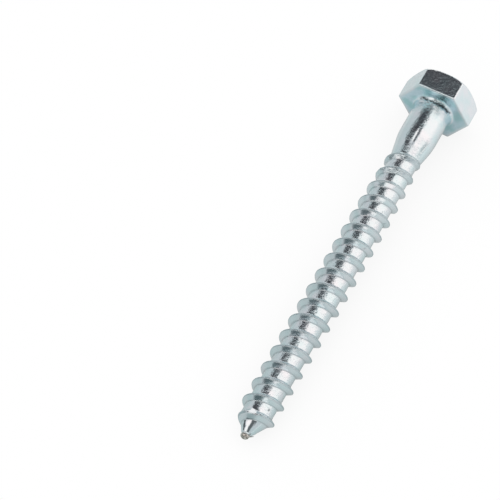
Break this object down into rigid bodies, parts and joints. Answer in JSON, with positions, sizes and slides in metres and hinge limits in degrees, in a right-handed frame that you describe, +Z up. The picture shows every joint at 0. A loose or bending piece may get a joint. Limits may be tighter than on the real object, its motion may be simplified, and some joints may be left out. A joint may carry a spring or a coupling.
{
  "type": "coach screw",
  "caption": "Hexagon-head coach screw of bright zinc-plated steel: plain shank, coarse right-hand wood thread and blunt cone point, driven by a spanner to fasten timber.",
  "frame": {"origin": "centre of the bearing face under the head, on the screw's axis", "axes": "+X along the screw's axis towards the point, which dips 2.3 degrees because the screw lies at rest on its head and thread; +Y across; +Z up, away from the floor"},
  "size_m": [0.0828, 0.015, 0.0132],
  "materials": {
    "zinc_plated_steel": "bright zinc plating with a blue-grey passivated tint and a fine speckle"
  },
  "bodies": {
    "root": {"coach_screw": "zinc_plated_steel"}
  },
  "joints": []
}
